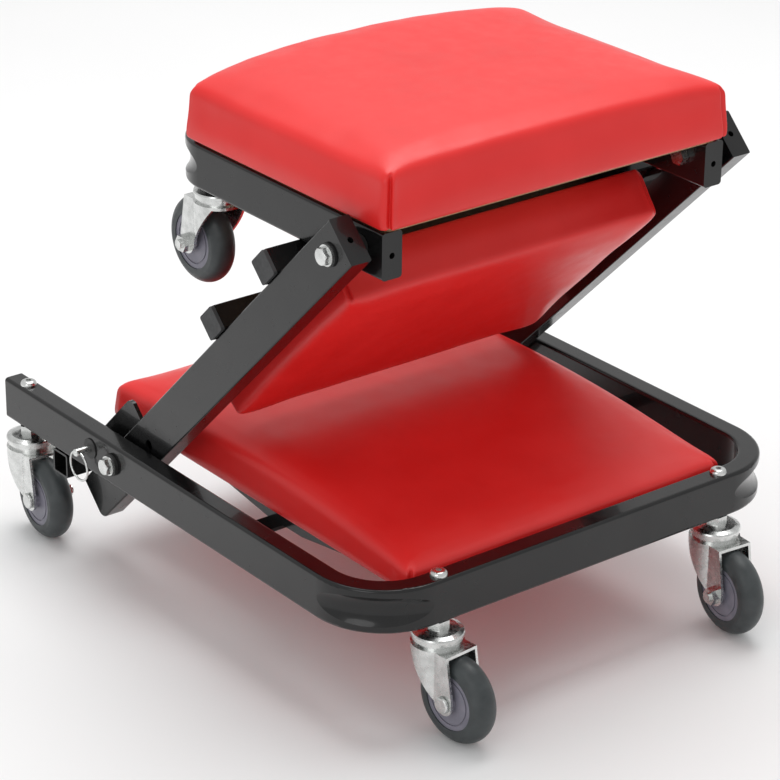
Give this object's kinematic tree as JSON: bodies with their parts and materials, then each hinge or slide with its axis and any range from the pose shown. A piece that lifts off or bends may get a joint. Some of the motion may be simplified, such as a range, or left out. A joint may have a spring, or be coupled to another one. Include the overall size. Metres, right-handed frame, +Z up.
{
  "type": "mechanics creeper",
  "caption": "Folding mechanic's creeper that locks up as a low padded seat, with a U-shaped tube base, two hinged arms, a folding seat frame and swivel casters.",
  "frame": {"origin": "on the floor, under the centre of the object's box, standing as a seat", "axes": "+Z up, +X towards the closed end of the base frame, Y across, Y = 0 the mid-plane"},
  "size_m": [0.5763, 0.4814, 0.4654],
  "materials": {
    "frame_paint": "gloss black",
    "zinc_steel": "bright zinc plate",
    "spring_steel": "bare spring wire",
    "black_washer": "matte",
    "plywood": "raw",
    "red_vinyl": "smooth vinyl, semi-gloss",
    "cap_plastic": "matte",
    "hub_plastic": "satin",
    "tyre_rubber": "satin"
  },
  "bodies": {
    "base": {"base_frame": "frame_paint", "rear_crossbar": "frame_paint", "middle_crossbar": "frame_paint", "base_pad_brackets": "frame_paint", "base_pad_board": "plywood", "base_pad_cushion": "red_vinyl", "base_pad_screws": "zinc_steel", "base_caster_screws": "zinc_steel", "base_caster_stems": "zinc_steel", "lower_pivot_bolts": "zinc_steel", "lower_pivot_nuts": "zinc_steel", "lower_pivot_washers": "black_washer", "lock_housings": "black_washer", "lock_springs": "spring_steel"},
    "left_lock": {"left_lock_pin": "zinc_steel"},
    "right_lock": {"right_lock_pin": "zinc_steel"},
    "left_ring": {"left_pull_ring": "zinc_steel"},
    "right_ring": {"right_pull_ring": "zinc_steel"},
    "middle_section": {"left_arm": "frame_paint", "right_arm": "frame_paint", "lock_plates": "frame_paint", "lower_arm_crossbar": "frame_paint", "upper_arm_crossbar": "frame_paint", "crossbar_end_caps": "cap_plastic", "middle_pad_board": "plywood", "middle_pad_cushion": "red_vinyl", "middle_pad_screws": "zinc_steel", "upper_pivot_bolts": "zinc_steel", "upper_pivot_nuts": "zinc_steel", "upper_pivot_spacers": "black_washer"},
    "seat": {"seat_frame": "frame_paint", "seat_caster_plates": "frame_paint", "seat_caster_stems": "zinc_steel", "seat_pad_board": "plywood", "seat_pad_cushion": "red_vinyl", "seat_pad_screws": "zinc_steel"},
    "front_left_swivel": {"front_left_caster_fork": "zinc_steel", "front_left_caster_axle": "zinc_steel"},
    "front_left_wheel": {"front_left_caster_wheel_hub": "hub_plastic", "front_left_caster_tyre": "tyre_rubber"},
    "front_right_swivel": {"front_right_caster_fork": "zinc_steel", "front_right_caster_axle": "zinc_steel"},
    "front_right_wheel": {"front_right_caster_wheel_hub": "hub_plastic", "front_right_caster_tyre": "tyre_rubber"},
    "rear_left_swivel": {"rear_left_caster_fork": "zinc_steel", "rear_left_caster_axle": "zinc_steel"},
    "rear_left_wheel": {"rear_left_caster_wheel_hub": "hub_plastic", "rear_left_caster_tyre": "tyre_rubber"},
    "rear_right_swivel": {"rear_right_caster_fork": "zinc_steel", "rear_right_caster_axle": "zinc_steel"},
    "rear_right_wheel": {"rear_right_caster_wheel_hub": "hub_plastic", "rear_right_caster_tyre": "tyre_rubber"},
    "seat_left_swivel": {"seat_left_caster_fork": "zinc_steel", "seat_left_caster_axle": "zinc_steel"},
    "seat_left_wheel": {"seat_left_caster_wheel_hub": "hub_plastic", "seat_left_caster_tyre": "tyre_rubber"},
    "seat_right_swivel": {"seat_right_caster_fork": "zinc_steel", "seat_right_caster_axle": "zinc_steel"},
    "seat_right_wheel": {"seat_right_caster_wheel_hub": "hub_plastic", "seat_right_caster_tyre": "tyre_rubber"}
  },
  "joints": [
    {"name": "middle_fold", "type": "hinge", "parent": "base", "child": "middle_section", "pos_m": [-0.1175, 0, 0.1186], "axis": [0, -1, 0], "range_deg": [0, 135]},
    {"name": "seat_fold", "type": "hinge", "parent": "middle_section", "child": "seat", "pos_m": [0.15827, 0, 0.39437], "axis": [0, 1, 0], "range_deg": [0, 135]},
    {"name": "left_lock_slide", "type": "slide", "parent": "base", "child": "left_lock", "axis": [0, 1, 0], "range_m": [0, 0.0075], "deforming": ["lock_springs"]},
    {"name": "left_ring_swing", "type": "hinge", "parent": "left_lock", "child": "left_ring", "pos_m": [-0.1505, -0.23675, 0.121], "axis": [-1, 0, 0], "range_deg": [-12, 95]},
    {"name": "right_lock_slide", "type": "slide", "parent": "base", "child": "right_lock", "axis": [0, -1, 0], "range_m": [0, 0.0075], "deforming": ["lock_springs"]},
    {"name": "right_ring_swing", "type": "hinge", "parent": "right_lock", "child": "right_ring", "pos_m": [-0.1505, 0.23675, 0.121], "axis": [1, 0, 0], "range_deg": [-12, 95]},
    {"name": "front_left_swivel", "type": "hinge", "parent": "base", "child": "front_left_swivel", "pos_m": [0.22648, -0.1483, 0.0785], "axis": [0, 0, 1], "continuous": true},
    {"name": "front_left_roll", "type": "hinge", "parent": "front_left_swivel", "child": "front_left_wheel", "pos_m": [0.25088, -0.14616, 0.0375], "axis": [-0.0872, 0.9962, 0], "continuous": true},
    {"name": "front_right_swivel", "type": "hinge", "parent": "base", "child": "front_right_swivel", "pos_m": [0.22648, 0.1483, 0.0785], "axis": [0, 0, 1], "continuous": true},
    {"name": "front_right_roll", "type": "hinge", "parent": "front_right_swivel", "child": "front_right_wheel", "pos_m": [0.25088, 0.14616, 0.0375], "axis": [0.0872, 0.9962, 0], "continuous": true},
    {"name": "rear_left_swivel", "type": "hinge", "parent": "base", "child": "rear_left_swivel", "pos_m": [-0.264, -0.21522, 0.0785], "axis": [0, 0, 1], "continuous": true},
    {"name": "rear_left_roll", "type": "hinge", "parent": "rear_left_swivel", "child": "rear_left_wheel", "pos_m": [-0.23956, -0.21693, 0.0375], "axis": [0.0698, 0.9976, 0], "continuous": true},
    {"name": "rear_right_swivel", "type": "hinge", "parent": "base", "child": "rear_right_swivel", "pos_m": [-0.264, 0.21522, 0.0785], "axis": [0, 0, 1], "continuous": true},
    {"name": "rear_right_roll", "type": "hinge", "parent": "rear_right_swivel", "child": "rear_right_wheel", "pos_m": [-0.23956, 0.21693, 0.0375], "axis": [-0.0698, 0.9976, 0], "continuous": true},
    {"name": "seat_left_swivel", "type": "hinge", "parent": "seat", "child": "seat_left_swivel", "pos_m": [-0.07, -0.1435, 0.35327], "axis": [0, 0, 1], "continuous": true},
    {"name": "seat_left_roll", "type": "hinge", "parent": "seat_left_swivel", "child": "seat_left_wheel", "pos_m": [-0.0945, -0.1435, 0.31227], "axis": [0, -1, 0], "continuous": true},
    {"name": "seat_right_swivel", "type": "hinge", "parent": "seat", "child": "seat_right_swivel", "pos_m": [-0.07, 0.1435, 0.35327], "axis": [0, 0, 1], "continuous": true},
    {"name": "seat_right_roll", "type": "hinge", "parent": "seat_right_swivel", "child": "seat_right_wheel", "pos_m": [-0.0945, 0.1435, 0.31227], "axis": [0, -1, 0], "continuous": true}
  ]
}
